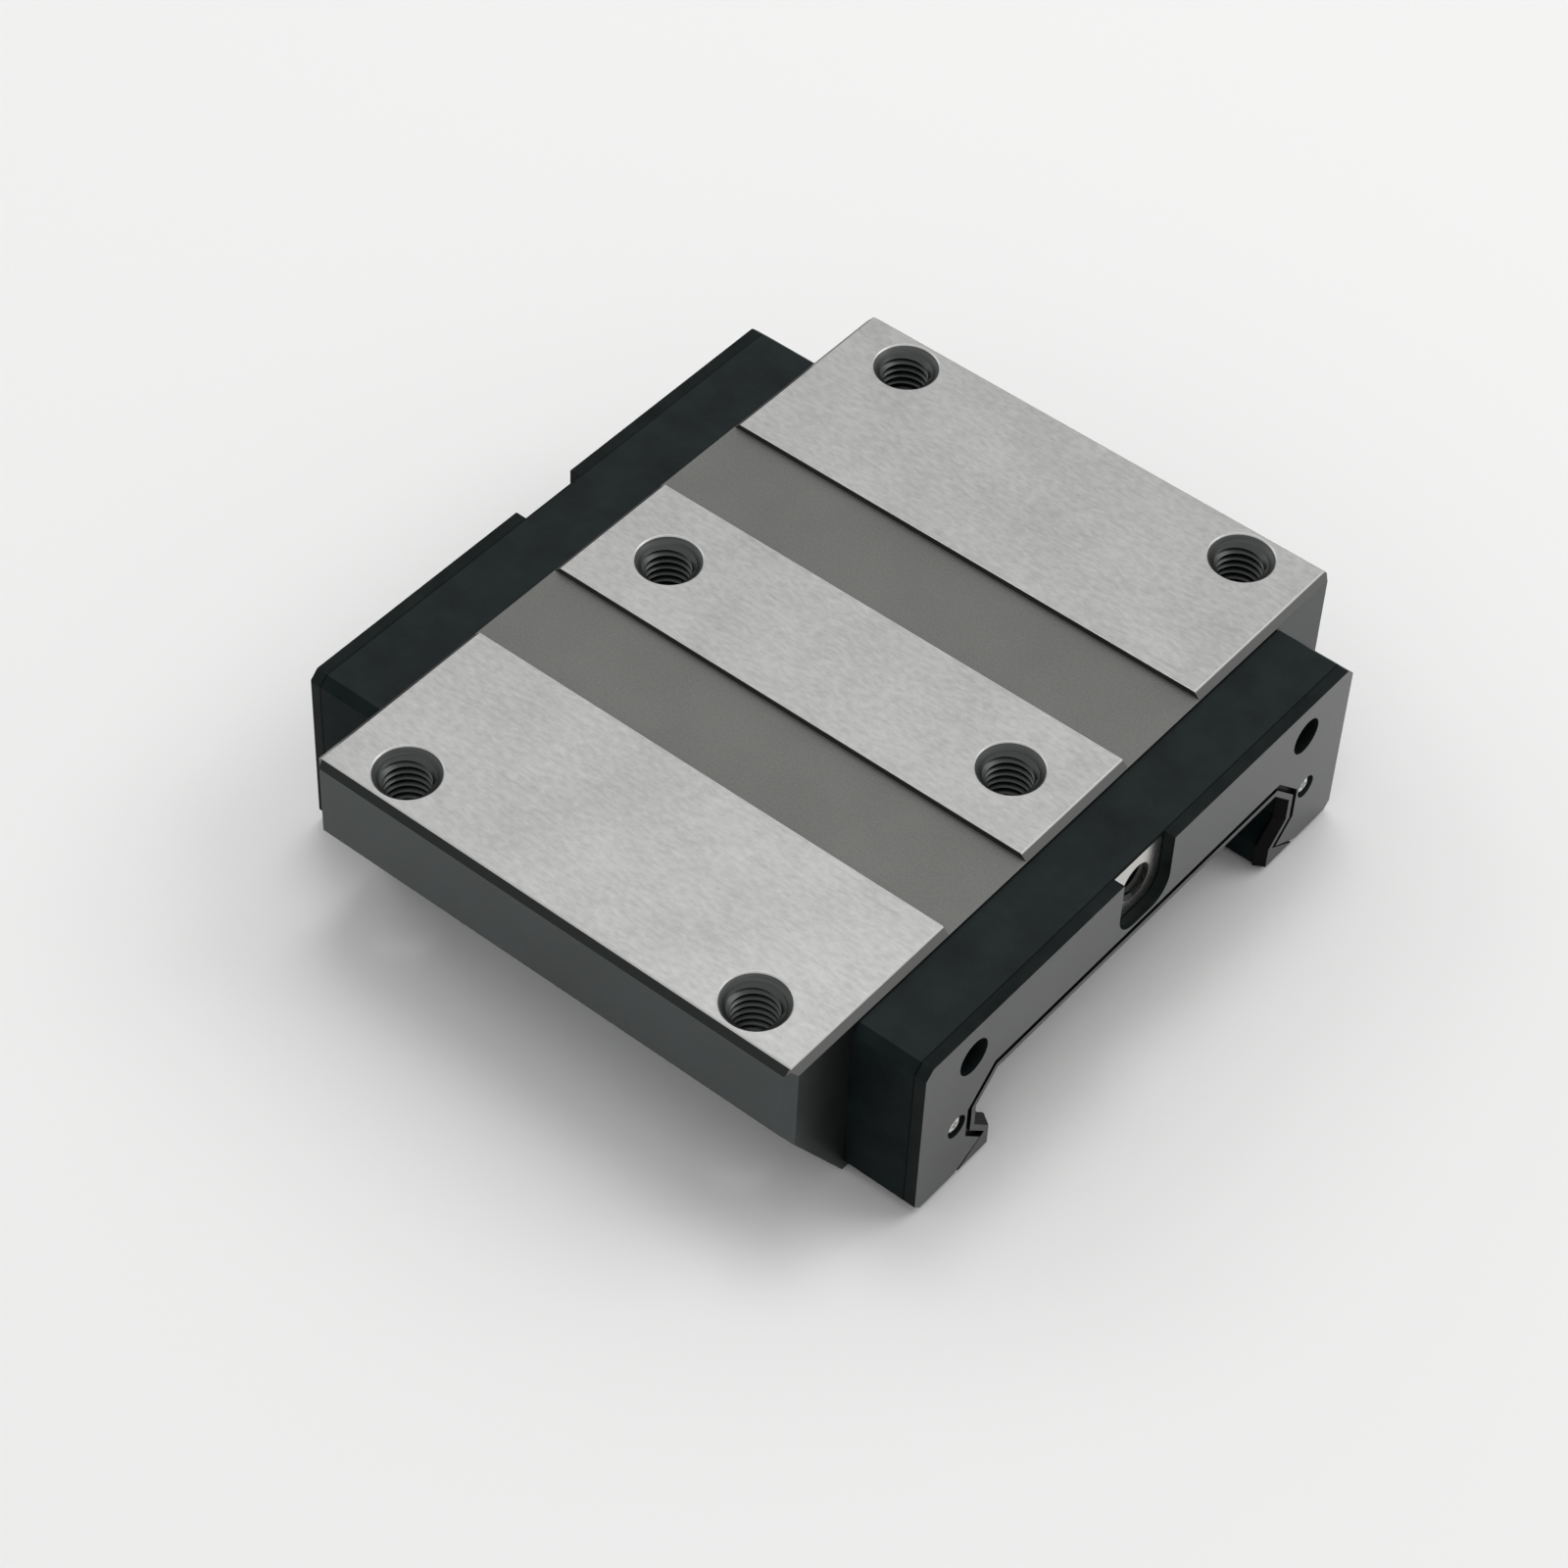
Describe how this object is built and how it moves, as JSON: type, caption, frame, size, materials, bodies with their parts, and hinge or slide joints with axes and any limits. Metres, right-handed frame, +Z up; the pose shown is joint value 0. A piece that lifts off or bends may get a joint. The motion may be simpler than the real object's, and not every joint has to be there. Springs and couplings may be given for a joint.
{
  "type": "linear bearing block",
  "caption": "Wide low flanged linear bearing block: ground steel body with tapped mounting holes, recirculating balls, black end plates and end seals, made to ride on a profile rail.",
  "frame": {"origin": "middle of the block's underside, on its lengthwise and crosswise middle planes", "axes": "+X along the rail, +Y across it towards the right flange, +Z up out of the mounting face"},
  "size_m": [0.1066, 0.12, 0.031],
  "materials": {
    "ground_steel": "ground and sand-blasted",
    "ball_steel": "polished",
    "retainer_resin": "satin",
    "end_resin": "satin",
    "plated_steel": "nickel plated",
    "seal_backing": "satin",
    "seal_rubber": "matt",
    "dark_screw": "black oxide",
    "guide_resin": "satin"
  },
  "bodies": {
    "root": {"ball_circuit_left_lower": "ball_steel", "ball_circuit_left_upper": "ball_steel", "ball_circuit_right_lower": "ball_steel", "ball_circuit_right_upper": "ball_steel", "ball_retainer_left_lower": "retainer_resin", "ball_retainer_left_middle": "retainer_resin", "ball_retainer_left_upper": "retainer_resin", "ball_retainer_right_lower": "retainer_resin", "ball_retainer_right_middle": "retainer_resin", "ball_retainer_right_upper": "retainer_resin", "carriage_block": "ground_steel", "end_plate_far": "end_resin", "end_plate_near": "end_resin", "grease_port_far": "plated_steel", "grease_port_near": "plated_steel", "plate_screw_far_left": "dark_screw", "plate_screw_far_right": "dark_screw", "plate_screw_near_left": "dark_screw", "plate_screw_near_right": "dark_screw", "return_core_far_left_lower": "guide_resin", "return_core_far_left_upper": "guide_resin", "return_core_far_right_lower": "guide_resin", "return_core_far_right_upper": "guide_resin", "return_core_near_left_lower": "guide_resin", "return_core_near_left_upper": "guide_resin", "return_core_near_right_lower": "guide_resin", "return_core_near_right_upper": "guide_resin", "seal_lip_far": "seal_rubber", "seal_lip_near": "seal_rubber", "seal_plate_far": "seal_backing", "seal_plate_near": "seal_backing"}
  },
  "joints": []
}
